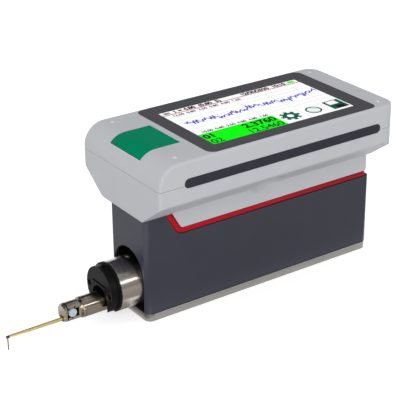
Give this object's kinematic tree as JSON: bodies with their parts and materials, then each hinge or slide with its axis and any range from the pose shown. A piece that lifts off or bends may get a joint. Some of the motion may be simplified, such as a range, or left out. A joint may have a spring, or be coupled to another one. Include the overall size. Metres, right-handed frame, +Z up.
{
  "type": "surface roughness tester",
  "caption": "Bench and hand surface roughness tester: hand unit with colour display and start key on a motor drive whose raised sleeve draws a stylus pick-up along the trace.",
  "frame": {"origin": "middle of the steel foot's underside", "axes": "+X along the trace towards the rear, the stylus is at -X; +Z up, square to the foot; +Y to the far side"},
  "size_m": [0.2298, 0.0754, 0.0985],
  "materials": {
    "shell_abs": "fine moulded texture",
    "bezel_abs": "matt",
    "screen_glass": "clear, smooth",
    "panel": "lit panel in a metal frame",
    "grip_rubber": "matt",
    "stud_rubber": "matt",
    "button_green": "satin",
    "circuit_board": "solder mask",
    "switch_black": "matt",
    "screw_steel": "zinc plated",
    "tin_plate": "folded sheet",
    "battery_wrap": "shrink wrap",
    "drive_paint": "fine powder coat",
    "trim_red": "satin",
    "foot_steel": "ground",
    "sleeve_steel": "turned",
    "cap_black": "satin",
    "bronze": "machined",
    "machined_alu": "milled",
    "hard_steel": "ground",
    "pickup_steel": "fine turned",
    "head_steel": "machined",
    "pivot_white": "anodised",
    "holder_brass": "machined",
    "arm_gold": "gold plated tube"
  },
  "bodies": {
    "case": {"upper_shell": "shell_abs", "lower_shell": "shell_abs", "display_bezel": "bezel_abs", "touch_panel": "screen_glass", "display_module": "panel", "side_strip_near": "grip_rubber", "side_strip_far": "grip_rubber", "top_studs": "stud_rubber", "button_board": "circuit_board", "button_switch": "switch_black", "button_screws": "screw_steel", "main_board": "circuit_board", "processor_shield": "tin_plate", "port_socket": "tin_plate", "board_screws": "screw_steel", "battery_pack": "battery_wrap", "case_screws": "screw_steel", "drive_housing": "drive_paint", "trim_gasket": "trim_red", "joint_screws": "screw_steel", "base_plate": "foot_steel", "base_screws": "screw_steel", "lift_motor": "tin_plate", "lift_post_near": "hard_steel", "lift_post_far": "hard_steel", "lift_bridge": "machined_alu", "bridge_screws": "screw_steel", "drive_board": "circuit_board", "drive_board_screws": "screw_steel"},
    "button": {"start_button": "button_green"},
    "lift_spindle": {"lift_screw": "hard_steel"},
    "lift": {"lift_block": "machined_alu", "lift_nut": "bronze", "drive_sleeve": "sleeve_steel", "end_cap": "cap_black", "sleeve_screw": "hard_steel", "front_bulkhead": "machined_alu", "motor_plate": "machined_alu", "guide_rod_near": "hard_steel", "guide_rod_far": "hard_steel", "traverse_motor": "tin_plate"},
    "traverse_spindle": {"traverse_screw": "hard_steel"},
    "traverse": {"carriage": "machined_alu", "traverse_nut": "bronze", "pickup_body": "pickup_steel", "pickup_head": "head_steel", "pivot_caps": "pivot_white", "pivot_pin": "hard_steel"},
    "probe": {"arm_holder": "holder_brass", "probe_arm": "arm_gold", "stylus_tip": "hard_steel"}
  },
  "joints": [
    {"name": "start_press", "type": "slide", "parent": "case", "child": "button", "axis": [0, 0, -1], "range_m": [0, 0.0008], "stiffness_N_per_m": 1500, "springref_m": -0.0008},
    {"name": "lift_slide", "type": "slide", "parent": "case", "child": "lift", "axis": [0, 0, 1], "range_m": [0, 0.005]},
    {"name": "lift_screw_turn", "type": "hinge", "parent": "case", "child": "lift_spindle", "pos_m": [0.022, 0, 0.02], "axis": [0, 0, 1], "range_deg": [-20, 1860]},
    {"name": "traverse_slide", "type": "slide", "parent": "lift", "child": "traverse", "axis": [1, 0, 0], "range_m": [0, 0.0175]},
    {"name": "traverse_screw_turn", "type": "hinge", "parent": "lift", "child": "traverse_spindle", "pos_m": [-0.05, 0, 0.0261], "axis": [1, 0, 0], "range_deg": [-20, 3200]},
    {"name": "probe_tilt", "type": "hinge", "parent": "traverse", "child": "probe", "pos_m": [-0.115, 0, 0.0126], "axis": [0, 1, 0], "range_deg": [-0.5, 0.5], "stiffness_Nm_per_rad": 0.05, "springref_deg": 0.11}
  ],
  "couplings": [
    {"joint": "lift_screw_turn", "follows": "lift_slide", "rad_per_m": 6283.2},
    {"joint": "traverse_screw_turn", "follows": "traverse_slide", "rad_per_m": 3141.6}
  ]
}
